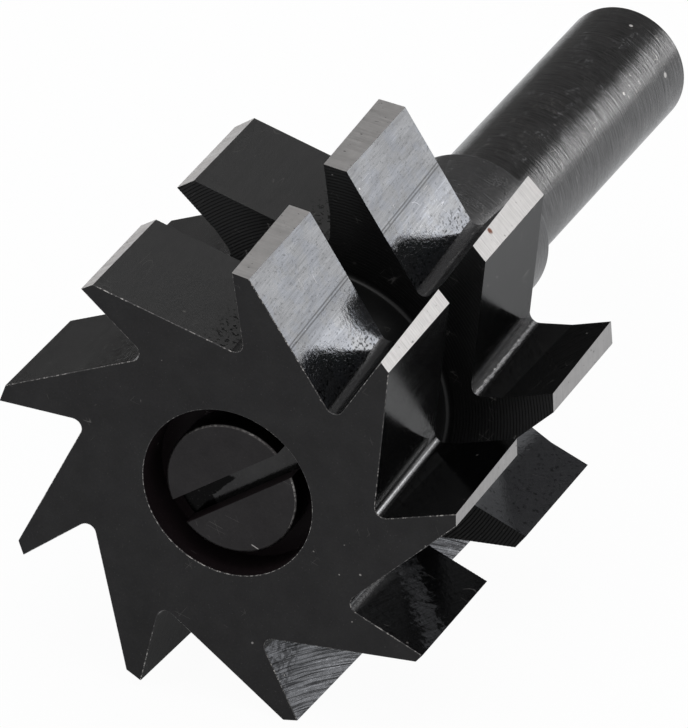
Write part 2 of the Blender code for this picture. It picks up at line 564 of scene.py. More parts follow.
class Workshop:
    """Operations that every piece is made with."""

    @staticmethod
    def loop(shape: bmesh.types.BMesh, points: Iterable[Sequence[float]]) -> list[bmesh.types.BMEdge]:
        """Draw a closed line.

        Args:
            shape: The bmesh to draw in.
            points: The line's points.

        Returns:
            Its edges, each from one point to the next.
        """
        corners = [shape.verts.new(point) for point in points]
        return [shape.edges.new(pair) for pair in zip(corners, corners[1:] + corners[:1])]

    @staticmethod
    def drawn_on(shape: bmesh.types.BMesh, edges: Sequence[bmesh.types.BMEdge], zone: int,
                 scale: float = 1.0, shift: float = 0.0) -> list[bmesh.types.BMEdge]:
        """Extrude a line of edges along or towards the tool's axis.

        Args:
            shape: The bmesh.
            edges: The line.
            zone: The material slot of the new faces.
            scale: How much wider the new line is.
            shift: How far along the axis it lies.

        Returns:
            The new line.
        """
        made = bmesh.ops.extrude_edge_only(shape, edges=edges)["geom"]
        corners = [part for part in made if isinstance(part, bmesh.types.BMVert)]
        bmesh.ops.scale(shape, vec=(scale, scale, 1.0), verts=corners)
        bmesh.ops.translate(shape, vec=(0.0, 0.0, shift), verts=corners)
        for part in made:
            if isinstance(part, bmesh.types.BMFace):
                part.material_index = zone
        return [part for part in made if isinstance(part, bmesh.types.BMEdge)]

    @staticmethod
    def spin(profile: Iterable[Sequence[float]], segments: int, zone: int = 0) -> bmesh.types.BMesh:
        """Turn an open profile of (radius, station) points that starts and ends on the axis.

        Args:
            profile: The profile.
            segments: The facets of a full turn.
            zone: The material slot of the faces.

        Returns:
            The turned shape.
        """
        shape = bmesh.new()
        corners = [shape.verts.new((radius, 0.0, station)) for radius, station in profile]
        edges = [shape.edges.new(pair) for pair in zip(corners, corners[1:])]
        bmesh.ops.spin(shape, geom=corners + edges, cent=(0, 0, 0), axis=(0, 0, 1), angle=2 * math.pi,
                       steps=segments, use_merge=True)
        bmesh.ops.remove_doubles(shape, verts=shape.verts, dist=MM / 2000)
        bmesh.ops.recalc_face_normals(shape, faces=shape.faces)
        for face in shape.faces:
            face.material_index = zone
        return shape

    @staticmethod
    def object_from(name: str, shape: bmesh.types.BMesh) -> bpy.types.Object:
        """Make an object of a bmesh.

        Args:
            name: The object's name.
            shape: The bmesh, which is freed.

        Returns:
            The new object.
        """
        mesh = bpy.data.meshes.new(name)
        shape.to_mesh(mesh)
        shape.free()
        piece = bpy.data.objects.new(name, mesh)
        bpy.context.scene.collection.objects.link(piece)
        return piece

    @staticmethod
    def empty_slots(piece: bpy.types.Object, count: int) -> None:
        """Give a piece a number of material slots, those that it has included."""
        while len(piece.data.materials) < count:
            piece.data.materials.append(None)

    @staticmethod
    def carve(piece: bpy.types.Object, cutter: bpy.types.Object) -> None:
        """Cut one shape out of another and remove the cutter.

        Args:
            piece: The piece that is cut.
            cutter: The shape that is taken out.
        """
        boolean = piece.modifiers.new("cut", "BOOLEAN")
        boolean.operation = "DIFFERENCE"
        boolean.solver = "EXACT"
        boolean.material_mode = "INDEX"
        boolean.object = cutter
        shaped = piece.evaluated_get(bpy.context.evaluated_depsgraph_get())
        mesh = bpy.data.meshes.new_from_object(shaped)
        piece.modifiers.clear()
        piece.data = mesh
        mesh.name = piece.name
        bpy.data.objects.remove(cutter, do_unlink=True)

    @staticmethod
    def finish(piece: bpy.types.Object, finishes: Sequence[bpy.types.Material], slot: Slot, node: str,
               sharp: float) -> bpy.types.Object:
        """Args:
            piece: The piece, in tool coordinates.
            finishes: Its materials.
            slot: The record's slot of its finish; not used.
            node: The frame's node that it stands for.
            sharp: The angle from which an edge is sharp.

        Returns:
            The piece.
        """
        piece.data.transform(TOOL.laid_down)
        Workshop.empty_slots(piece, len(finishes))
        for index, finish in enumerate(finishes):
            piece.data.materials[index] = finish
        piece.data.shade_smooth()
        piece.data.set_sharp_from_angle(angle=sharp)
        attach(piece, Body.ROOT.value)
        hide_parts(node)
        log.info("%s: %d faces", piece.name, len(piece.data.polygons))
        return piece


@dataclass(frozen=True)
class GashFrame:
    """The gashes' own directions, in millimetres, for marks that follow their walls.

    Attributes:
        first: The turn of the first tooth.
        pitch: The angle from one tooth to the next.
        slant: How far a gash shifts sideways for each millimetre along the tool.
        tip: The distance of the cutting edges from the axis.
        corner: The corner of a gash before it is rounded, outward and sideways from the axis.
        wall: The direction of the back wall.
        middle: The direction midway between the back wall and the floor.
    """

    first: float
    pitch: float
    slant: float
    tip: float
    corner: Point
    wall: Point
    middle: Point

    def inside(self, place: Place) -> tuple[Socket, Socket]:
        """Turn a point into the frame of its gash.

        Args:
            place: The point that is shaded.

        Returns:
            Its distances from the axis, outward and sideways.
        """
        turn = place.graph.attribute("gash") * self.pitch + self.first
        cosine, sine = turn.cosine(), turn.sine()
        outward = place.x * cosine - place.z * sine
        sideways = place.along * self.slant - place.z * cosine - place.x * sine
        return outward, sideways

    def from_corner(self, place: Place) -> tuple[Socket, Socket]:
        """Return the distances from the gash's corner, outward and sideways."""
        outward, sideways = self.inside(place)
        return outward - self.corner[0], sideways - self.corner[1]

    def up_the_back(self, place: Place) -> Socket:
        """Return the distance from the root along the back wall."""
        outward, sideways = self.from_corner(place)
        return outward * self.wall[0] + sideways * self.wall[1]

    def off_the_middle(self, place: Place) -> Socket:
        """Return the distance from the plane midway between the back wall and the floor."""
        outward, sideways = self.from_corner(place)
        return sideways * self.middle[0] - outward * self.middle[1]

    def down_the_rake(self, place: Place) -> Socket:
        """Return the distance from the cutting edge."""
        return self.tip - self.inside(place)[0]


@dataclass
class Surface:
    """Metal surface that is built up mark by mark, with lengths in millimetres.

    Attributes:
        graph: The material's graph.
        place: The point that is shaded.
        roughness: The roughness.
        shade: The tone, which multiplies the finish's colour.
        height: The height of the marks.
        bare: The share of bare metal.
        rust: The share of rust.
        cool: The share of a cooler colour.
        film: The share of a dull film.
    """

    graph: Graph
    place: Place
    roughness: Any
    shade: Any = 1.0
    height: Any = 0.0
    bare: Any = 0.0
    rust: Any = 0.0
    cool: Any = 0.0
    film: Any = 0.0

    def grain(self, vector: Socket, tone: Any, depth: Any, detail: float = 3.0) -> Socket:
        """Vary the tone and the height.

        Args:
            vector: Where the noise is read.
            tone: How much the tone varies.
            depth: How much the height varies.
            detail: How many octaves the noise has.

        Returns:
            The noise about 0.
        """
        noise = self.graph.noise(vector, 1.0, detail, 0.6) - 0.5
        self.shade = self.shade * (noise * tone + 1.0)
        self.height = self.height + noise * depth
        return noise

    def darken(self, where: Any, amount: Any = 1.0) -> None:
        """Lower the tone.

        Args:
            where: Where it is lowered, from 0 to 1.
            amount: By how much, where that is 1.
        """
        self.shade = self.shade * (1.0 - where * amount)

    def pits(self, vector: Socket, share: float, depth: float, tone: Any = 0.7,
             where: Any = 1.0) -> None:
        """Add small dark holes.

        Args:
            vector: Where the noise is read.
            share: The larger, the more holes.
            depth: Their depth.
            tone: How dark they are.
            where: Where there are any.
        """
        hole = self.graph.noise(vector, 1.0, 1.0, 0.5).between(0.74 - share, 0.80 - share) * where
        self.darken(hole, tone)
        self.height = self.height - hole * depth

    def dust(self, spacing: float, radius: float) -> None:
        """Add pale dots of dust.

        Args:
            spacing: The size of the cells that hold one dot each.
            radius: The radius of a dot.
        """
        sockets = {"Vector": self.place.point, "Scale": 1 / spacing}
        distance = self.graph.node("ShaderNodeTexVoronoi", {}, sockets, "Distance")
        uneven = self.graph.noise(self.place.point, 0.9, 2.0) - 0.5
        reach = radius / spacing
        dot = (distance - uneven * reach * 6.0).between(reach, reach * 0.4)
        self.bare = dot * 0.42 + self.bare

    def scratches(self, vector: Socket, share: float, light: float = 0.3) -> None:
        """Add short hairlines.

        Args:
            vector: Where the noise is read, stretched along the lines.
            share: The larger, the more of them.
            light: How much bare metal they show.
        """
        lines = self.graph.noise(vector, 1.0, 0.0) - 0.5
        places = self.graph.noise(self.place.point, 0.4, 1.0)
        line = lines.absolute().between(0.006, 0.001) * places.between(0.74 - share, 0.77 - share)
        self.bare = self.bare + line * light

    def hairlines(self, angle: float, share: float, light: float,
                  stretch: Sequence[float] = HAIRLINE) -> None:
        """Add hairlines that all run one way.

        Args:
            angle: Their angle about the tool's axis.
            share: The larger, the more of them.
            light: How much bare metal they show.
            stretch: How their noise is stretched.
        """
        self.scratches(self.place.turned(angle, stretch), share, light)

    def wear(self, distance: Socket, reach: float, light: float = 0.5) -> None:
        """Rub the oxide through in dots and runs along an edge.

        Args:
            distance: The distance from the edge.
            reach: How far the wear spreads.
            light: How much bare metal shows.
        """
        dots = self.graph.noise(self.place.point, 3.4, 2.0, 0.7).between(0.42, 0.60)
        runs = self.graph.noise(self.place.point, 0.25, 1.0).between(0.34, 0.60)
        line = distance.between(reach, reach * 0.4)
        self.bare = self.bare + line * (dots * 0.8 + 0.2) * (runs * 0.8 + 0.2) * light

    def close(self, colour: Sequence[float], metallic: float, gloss: float, glance: float) -> None:
        """Turn what has been built up into the material's shader.

        Args:
            colour: The colour where the tone is 1.
            metallic: How metallic it is.
            gloss: The gloss of what isn't metallic.
            glance: How much it reflects at a glancing angle.
        """
        shown = self.graph.scaled(colour, self.shade)
        if isinstance(self.bare, Socket):
            shown = self.graph.blend(self.bare.smaller(1.0), shown, BARE_METAL)
        if isinstance(self.rust, Socket):
            shown = self.graph.blend(self.rust, shown, RUST)
        if isinstance(self.cool, Socket):
            shown = self.graph.blend(self.cool, shown, self.graph.product(shown, COOLER))
        if isinstance(self.film, Socket):
            metallic = (1.0 - self.film) * metallic
        normal = self.graph.bump(self.height, MM) if isinstance(self.height, Socket) else None
        constants = {"Specular IOR Level": gloss, "Specular Tint": (glance, glance, glance, 1.0)}
        self.graph.metal(shown, self.roughness, normal, metallic, **constants)


@dataclass(frozen=True)
class Finish:
    """Metal finish, which each kind dresses with its own marks.

    Attributes:
        name: The material's name.
        colour: The colour where the tone is 1.
        roughness: The roughness of a clean surface.
        metallic: How metallic it is.
        gloss: The gloss of what isn't metallic.
        glance: How much it reflects at a glancing angle.
    """

    name: str
    colour: tuple[float, float, float]
    roughness: float
    metallic: float = 1.0
    gloss: float = 0.5
    glance: float = 1.0

    def dress(self, surface: Surface) -> None:
        """Add the finish's marks to a surface."""
        raise NotImplementedError

    def material(self) -> bpy.types.Material:
        """Make the finish's material.

        Returns:
            The material.
        """
        material, graph = new_material(self.name)
        surface = Surface(graph, graph.place(), self.roughness)
        self.dress(surface)
        surface.close(self.colour, self.metallic, self.gloss, self.glance)
        return material


@dataclass(frozen=True)
class FacedOxide(Finish):
    """Satin black oxide on a faced surface, with dust, hairlines and rubbed rims."""

    metallic: float = 0.5
    grain: float = 0.35
    dust: float = 2.6
    scratched: float = 0.05
    hairline_angles: tuple[float, ...] = (0.35, 1.25, 2.5)
    specks: float = 0.05
    rims: tuple[Point, ...] = ()
    rim_width: float = 0.13
    nicks: tuple[Nick, ...] = ()

    def dress(self, surface: Surface) -> None:
        """Add the finish's marks to a surface.

        Args:
            surface: The surface that is built up.
        """
        place = surface.place
        surface.grain(place.stretched(0.3, 0.3), 0.5, 0.0)
        fine = surface.grain(place.stretched(5.0, 5.0), self.grain, 0.004, 2.0)
        surface.roughness = fine * 0.2 + self.roughness
        surface.dust(self.dust, 0.085)
        for angle in self.hairline_angles:
            surface.hairlines(angle, self.scratched, 0.14)
        specks = surface.graph.noise(place.point, 7.0, 1.0).between(0.68, 0.80)
        surface.bare = surface.bare + specks * self.specks
        for radius, station in self.rims:
            surface.wear(place.off_circle(radius, station), self.rim_width)
        for nick in self.nicks:
            surface.bare = surface.bare + self.nick(place, *nick) * 0.7

    def nick(self, place: Place, x: float, z: float, angle: float, length: float) -> Socket:
        """Return 1 on a short straight scratch.

        Args:
            place: The point that is shaded.
            x: The scratch's middle, to the right.
            z: The scratch's middle, upwards.
            angle: Its angle from the level.
            length: Half its length.

        Returns:
            The wrapped value.
        """
        right, up = place.x - x, place.z - z
        along = (right * math.cos(angle) + up * math.sin(angle)).absolute()
        across = (up * math.cos(angle) - right * math.sin(angle)).absolute()
        return along.between(length, length * 0.7) * across.between(0.07, 0.03)


@dataclass(frozen=True)
class SlotFloor(FacedOxide):
    """Oxide in a slot, with painted shadow that covers one end and runs out along an edge."""

    angle: float = 0.0
    shadow_end: float = -3.6
    shadow_edge: float = -0.28
    shadow_slope: float = 0.14
    shadow_tone: float = 0.85

    def dress(self, surface: Surface) -> None:
        """Add the finish's marks to a surface.

        Args:
            surface: The surface that is built up.
        """
        super().dress(surface)
        graph, place = surface.graph, surface.place
        along = place.x * math.cos(self.angle) - place.z * math.sin(self.angle)
        across = place.x * math.sin(self.angle) + place.z * math.cos(self.angle)
        # Painted shadow over one end of the slot floor and in a wedge along its edge, where the
        # slot's wall shades it.
        ragged = graph.noise(place.point, 0.9, 4.0, 0.6) - 0.5
        end = (along + ragged * 1.2).between(self.shadow_end + 0.12, self.shadow_end - 0.12)
        edge = (along - self.shadow_end) * self.shadow_slope + self.shadow_edge
        above = (across + ragged * 0.6 - edge).between(-0.05, 0.05)
        wedge = above * (along + ragged * 3.0).between(-0.6, -1.0)
        surface.darken(end.larger(wedge), self.shadow_tone)


@dataclass(frozen=True)
class TurnedOxide(Finish):
    """Worn black oxide on a turned surface, with feed lines, handling marks and a dusty collar."""

    feed: float = 2.1
    feed_height: float = 0.045
    worn: float = 0.0
    handled: float = 0.34
    smeared: float = 0.24
    collar: float = 8.0
    hairline: tuple[float, ...] = (0.7, 0.35, 0.05)
    hairline_angles: tuple[float, ...] = (0.6, 2.0)
    smears: tuple[Mark, ...] = ()
    flecks: tuple[Mark, ...] = ()
    rims: tuple[Point, ...] = ()
    rim_width: float = 0.2

    def dress(self, surface: Surface) -> None:
        """Add the finish's marks to a surface.

        Args:
            surface: The surface that is built up.
        """
        graph, place = surface.graph, surface.place
        patches = surface.grain(place.stretched(0.45, 0.22), 0.8, 0.0, 5.0)
        # The collar shows its feed lines less than the shank, and carries more dust.
        dusty = place.radius.between(self.collar - 0.8, self.collar - 0.4)
        feed = (1.0 - dusty * 0.7) * self.feed
        lines = surface.grain(place.stretched(0.35, 4.2), feed, self.feed_height, 5.0)
        fine = graph.noise(place.point, 3.4, 4.0, 0.75)
        smudges = graph.noise(place.stretched(0.5, 0.28), 1.0, 4.0, 0.65).between(0.52, 0.62)
        touched = smudges * fine.between(0.46, 0.60) * self.handled
        surface.film = touched + dusty * (fine * 0.20 + 0.10) + 0.03
        surface.bare = fine.between(0.57, 0.72) * self.worn
        scribble = graph.noise(place.point, 1.8, 3.0, 0.8).between(0.54, 0.62)
        for *point, reach in self.smears:
            smear = place.near_point(point, reach) * scribble
            surface.bare = surface.bare + smear * self.smeared
        for *point, reach in self.flecks:
            fleck = place.near_point(point, reach)
            surface.bare = surface.bare + fleck
            surface.film = surface.film + fleck * 0.7
        surface.roughness = self.roughness - lines * 0.15 + patches * 0.25
        surface.dust(3.2, 0.15)
        for angle in self.hairline_angles:
            surface.hairlines(angle, 0.12, 0.3, self.hairline)
        surface.scratches(place.stretched(0.8, 0.08), 0.10, 0.3)
        for radius, station in self.rims:
            surface.wear(place.off_circle(radius, station), self.rim_width)


@dataclass(frozen=True)
class MilledBack(Finish):
    """Oxide on the back wall of a gash: streaked by the mill near the land, smooth near the root."""

    gash: GashFrame | None = None
    smooth_below: float = 7.9
    step_shade_lines: tuple[float, ...] = (0.0, 0.30)
    narrow_streaks: float = 1.15
    broad_streaks: float = 0.8
    streak_height: float = 0.003
    wave_height: float = 0.016
    painted_sheen: float = 0.24
    flaked: float = 0.10
    smeared: float = 0.8

    def dress(self, surface: Surface) -> None:
        """Add the finish's marks to a surface.

        Args:
            surface: The surface that is built up.
        """
        graph, place = surface.graph, surface.place
        reach = self.gash.up_the_back(place)
        marks = graph.attribute("marks")
        coarse = marks.between(0.6, 0.9)
        smooth = reach.between(self.smooth_below - 0.6, self.smooth_below - 2.4)
        # The wall's tone stands partly for the reflection it shows: painted reflection and shade.
        surface.shade = graph.attribute("tone")
        narrow = place.on_tooth(reach * 6.0, place.along * 0.30)
        broad = place.on_tooth(reach * 1.1, place.along * 0.22)
        height = marks * self.streak_height
        streaks = surface.grain(narrow, marks * self.narrow_streaks, height, 4.0)
        streaks = streaks + surface.grain(broad, marks * self.broad_streaks, height, 4.0)
        surface.pits(place.on_tooth(reach * 6.5, place.along * 3.0), 0.10, 0.002, marks * 0.35)
        # Painted shade: two dark lines stand for the shading of the small step where the mill's two
        # passes meet.
        for line in self.step_shade_lines:
            step = (reach - self.smooth_below + line).absolute().between(0.11, 0.03)
            surface.darken(step * coarse, 0.55)
        self.dress_root(surface, reach, marks, smooth)
        patches = graph.noise(place.on_tooth(reach * 0.5, place.along * 0.4), 1.0, 3.0, 0.6)
        surface.cool = (patches.between(0.44, 0.58) * 0.5 + 0.5) * coarse
        surface.roughness = (1.0 - smooth) * marks * 0.16 + streaks * 0.1 + self.roughness
        surface.dust(2.8, 0.10)
        surface.hairlines(0.9, 0.13, 0.25)
        surface.scratches(place.on_tooth(reach * 0.9, place.along * 0.06), 0.14, 0.22)

    def dress_root(self, surface: Surface, reach: Socket, marks: Socket, smooth: Socket) -> None:
        """Add the pits, flakes, smears, waves and painted sheen that lie towards the root.

        Args:
            surface: The surface that is built up.
            reach: The distance from the root.
            marks: How strongly the tooth is marked.
            smooth: Where the mill left the wall smooth.
        """
        graph, place = surface.graph, surface.place
        coarse = marks.between(0.6, 0.9)
        surface.pits(place.stretched(3.0, 3.0), 0.165, 0.004, 0.80, reach.between(5.2, 2.4))
        # Painted sheen: the smooth part near the root of the most marked walls is lightened, as for a
        # reflection.
        surface.shade = surface.shade * (smooth * coarse * self.painted_sheen + 1.0)
        flakes = graph.noise(place.point, 3.0, 2.0, 0.7).between(0.62, 0.68)
        surface.bare = flakes * reach.between(3.0, 3.8) * smooth * coarse * self.flaked
        smears = graph.noise(place.on_tooth(reach * 1.1, place.along * 0.7), 1.0, 5.0, 0.75)
        rubbed = reach.between(7.5, 4.0) * marks.between(0.52, 0.58) * (1.0 - coarse)
        surface.darken(smears.between(0.47, 0.60) * rubbed, self.smeared)
        waves = graph.noise(place.point, 1.6, 4.0, 0.65) - 0.5
        depth = smooth * marks * reach.between(1.5, 4.5) * self.wave_height + 0.001
        surface.height = surface.height + waves * depth


@dataclass(frozen=True)
class MilledRake(Finish):
    """Oxide on the front wall of a gash, with the arcs that a face mill leaves."""

    gash: GashFrame | None = None
    mill_along: float = 21.6
    mill_across: float = 75.0
    arc_tone: float = 2.7
    arc_height: float = 0.008
    chipped: float = 0.55
    rough_band: float = 3.0
    raggedness: float = 11.0

    def dress(self, surface: Surface) -> None:
        """Add the finish's marks to a surface.

        Args:
            surface: The surface that is built up.
        """
        graph, place = surface.graph, surface.place
        depth = self.gash.down_the_rake(place)
        torn = graph.attribute("torn")
        marks = graph.attribute("marks") * (1.0 - place.on_rear_wheel() * torn)
        # The wall's tone stands partly for the reflection it shows: painted reflection and shade.
        surface.shade = graph.attribute("tone")
        self.mill_arcs(surface, depth, marks)
        surface.grain(place.on_tooth(place.along * 1.4, depth * 1.4), marks * 0.9, 0.006, 4.0)
        chunks = graph.noise(place.on_tooth(place.along * 2.0, depth * 3.2), 1.0, 2.0, 0.6)
        # Dark chips gather where the rake is deepest, next to the front face.
        corner = (depth - place.along * 0.45).between(1.6, 3.4)
        surface.darken(chunks.between(0.53, 0.47) * corner * marks, self.chipped)
        band = self.torn_band_with_painted_shade(surface, depth, torn)
        rough = graph.noise(place.point, 2.6, 4.0, 0.7) - 0.5
        surface.height = surface.height + rough * (marks * 0.012 + 0.004)
        surface.roughness = band * marks * 0.15 + self.roughness
        surface.dust(2.8, 0.09)
        surface.hairlines(0.9, 0.10, 0.2)

    def mill_arcs(self, surface: Surface, depth: Socket, marks: Socket) -> None:
        """Add the arcs that lie about the face mill's centre.

        Args:
            surface: The surface that is built up.
            depth: The distance from the cutting edge.
            marks: How strongly the tooth is marked.
        """
        graph, place = surface.graph, surface.place
        sweep = ((place.along + self.mill_along) ** 2 + (depth + self.mill_across) ** 2) ** 0.5
        wander = graph.noise(place.point, 0.35, 2.0)
        swept = place.on_tooth((sweep + wander * 0.15) * 8.0, place.along * 0.16)
        lines = surface.grain(swept, marks * self.arc_tone, marks * self.arc_height, 2.0)
        surface.darken(lines.between(-0.02, -0.09) * marks, 0.55)

    def torn_band_with_painted_shade(self, surface: Surface, depth: Socket, torn: Socket) -> Socket:
        """Leave the oxide dull in a ragged band, with painted shade beside it.

        Args:
            surface: The surface that is built up.
            depth: The distance from the cutting edge.
            torn: How strongly the tooth shows it.

        Returns:
            The band, which is 1 inside.
        """
        graph, place = surface.graph, surface.place
        rear = place.on_rear_wheel()
        ragged = graph.noise(place.on_tooth(place.along * 1.5, depth), 1.0, 5.0, 0.8) - 0.5
        middle = depth * 1.05 + self.rough_band
        band = (place.along - middle + ragged * self.raggedness).absolute().between(1.7, 1.3)
        # Painted shade on both sides of the band on the front wheel; on the rear wheel a painted
        # lighter reflection instead.
        surface.darken((1.0 - band.larger(rear)) * torn)
        surface.shade = surface.shade * (rear * torn * 0.45 + 1.0)
        flecks = graph.noise(place.on_tooth(place.along * 2.0, depth * 1.6), 1.0, 4.0, 0.75)
        surface.darken(flecks.between(0.57, 0.61) * torn, 0.7)
        return band


@dataclass(frozen=True)
class SmoothRoot(Finish):
    """Glossy oxide in the rounded root of a gash, with a ragged painted highlight along its middle
    and painted shade over the rest.
    """

    gash: GashFrame | None = None
    highlight_half_width: float = 0.15

    def dress(self, surface: Surface) -> None:
        """Add the finish's marks to a surface.

        Args:
            surface: The surface that is built up.
        """
        graph, place = surface.graph, surface.place
        marks = graph.attribute("marks")
        surface.grain(place.stretched(3.0, 0.2), 0.5, 0.004)
        torn = graph.noise(place.stretched(3.6, 2.2), 1.0, 4.0, 0.75) - 0.5
        rear = place.on_rear_wheel()
        surface.height = surface.height + torn * (marks * 0.07 + rear * 0.11 + 0.012)
        # Painted highlight: a thin light line along the middle of the root, ragged and lighter on the
        # rear wheel. Painted shade dims the rest of the root.
        off = (self.gash.off_the_middle(place) + torn * (rear * 0.5 + 0.10)).absolute()
        line = off.between(self.highlight_half_width + 0.08, self.highlight_half_width - 0.08)
        highlight_share = graph.attribute("tone")
        light = line * (rear * 0.6 + 1.25)
        surface.shade = surface.shade * (light * highlight_share + 0.60 - highlight_share * 0.43)
        # Bare specks along the painted highlight on the rear wheel, as painted glints.
        surface.bare = line * rear * torn.between(0.02, 0.12) * 0.30


@dataclass(frozen=True)
class GroundLand(Finish):
    """Bright ground steel with fine wheel marks across the land, stained here and there."""

    rust: tuple[float, float, float] = (0.0, 0.0, 0.0)

    def dress(self, surface: Surface) -> None:
        """Add the finish's marks to a surface.

        Args:
            surface: The surface that is built up.
        """
        graph, place = surface.graph, surface.place
        # The land's tone stands partly for the reflection it shows: painted reflection.
        surface.shade = graph.attribute("tone")
        marks = graph.attribute("marks")
        lines = surface.grain(place.stretched(0.25, 6.0), marks * 1.3, 0.002, 4.0)
        surface.grain(place.stretched(1.5, 1.0), 0.25, 0.0)
        surface.pits(place.stretched(2.4, 2.4), 0.03, 0.004, 0.6)
        surface.roughness = lines * 0.3 + self.roughness
        patchy = graph.noise(place.point, 2.0, 2.0).between(0.26, 0.40)
        surface.rust = place.near_point(self.rust, 0.42) * patchy


@dataclass(frozen=True)
class WornEdge(Finish):
    """Edge on which the oxide is rubbed through in places."""

    worn: float = 0.12

    def dress(self, surface: Surface) -> None:
        """Add the finish's marks to a surface.

        Args:
            surface: The surface that is built up.
        """
        graph, place = surface.graph, surface.place
        spots = graph.noise(place.point, 3.6, 3.0, 0.75)
        spots = spots.between(0.60 - self.worn, 0.72 - self.worn)
        runs = graph.noise(place.point, 0.16, 1.0).between(0.34, 0.60)
        surface.bare = spots * (runs * 0.6 + 0.14) + 0.02


@dataclass(frozen=True)
class ToothLook:
    """How a tooth looks, with the gash that it rises from.

    Attributes:
        land: The width of its ground land, in millimetres.
        land_tone_and_painted_light: How light the land is: its own tone and painted reflection.
        land_marks: How strongly the land is marked.
        back_tone_and_painted_light: How light the wall behind the tooth is: its own tone and
            painted reflection and shade.
        back_marks: How strongly that wall is marked.
        rake_tone_and_painted_light: How light the wall in front of the tooth and the floor below
            it are: their own tone and painted reflection and shade.
        rake_marks: How strongly these two and the root are marked.
        torn: How strongly the wall in front shows its ragged band, with the painted shade beside it.
        root_painted_highlight: How light the painted highlight along the root is, and how dark the
            painted shade over the rest of the root.
    """

    land: float
    land_tone_and_painted_light: float
    land_marks: float
    back_tone_and_painted_light: float
    back_marks: float
    rake_tone_and_painted_light: float
    rake_marks: float
    torn: float
    root_painted_highlight: float

    def on(self, zone: Zone) -> Point:
        """Return the tone, with its painted light, and the marks of one of the tooth's walls.

        Args:
            zone: The wall's zone.

        Returns:
            Its tone with painted light, and how strongly it is marked.
        """
        tones = {Zone.LAND: self.land_tone_and_painted_light, Zone.BACK: self.back_tone_and_painted_light, Zone.ROOT: self.root_painted_highlight}
        marks = {Zone.LAND: self.land_marks, Zone.BACK: self.back_marks}
        return tones.get(zone, self.rake_tone_and_painted_light), marks.get(zone, self.rake_marks)


# One row for each tooth, in the order in which they are modelled round the head. Its tones are
# partly painted light: each wall is made as light or dark as the reflection that it shows.
TOOTH_LOOKS = (
    ToothLook(1.70, 1.00, 0.60, 0.70, 0.50, 0.16, 0.40, 0.30, 0.50),
    ToothLook(1.50, 1.00, 0.60, 0.70, 0.50, 0.50, 0.50, 0.10, 0.50),
    ToothLook(1.88, 1.00, 0.60, 0.60, 0.58, 0.50, 0.50, 0.10, 0.50),
    ToothLook(1.38, 2.20, 0.50, 1.10, 0.18, 0.60, 0.50, 0.10, 0.50),
    ToothLook(1.72, 1.15, 0.30, 0.72, 1.00, 0.60, 0.50, 0.10, 0.50),
    ToothLook(1.20, 0.80, 1.00, 0.28, 0.40, 0.60, 0.40, 0.10, 0.15),
    ToothLook(1.27, 0.84, 0.50, 0.60, 0.60, 0.14, 0.10, 0.00, 1.00),
    ToothLook(1.05, 0.90, 0.50, 0.60, 0.60, 1.20, 0.45, 0.80, 1.00),
    ToothLook(1.50, 1.00, 0.60, 0.60, 0.60, 2.75, 1.00, 0.00, 1.00),
)


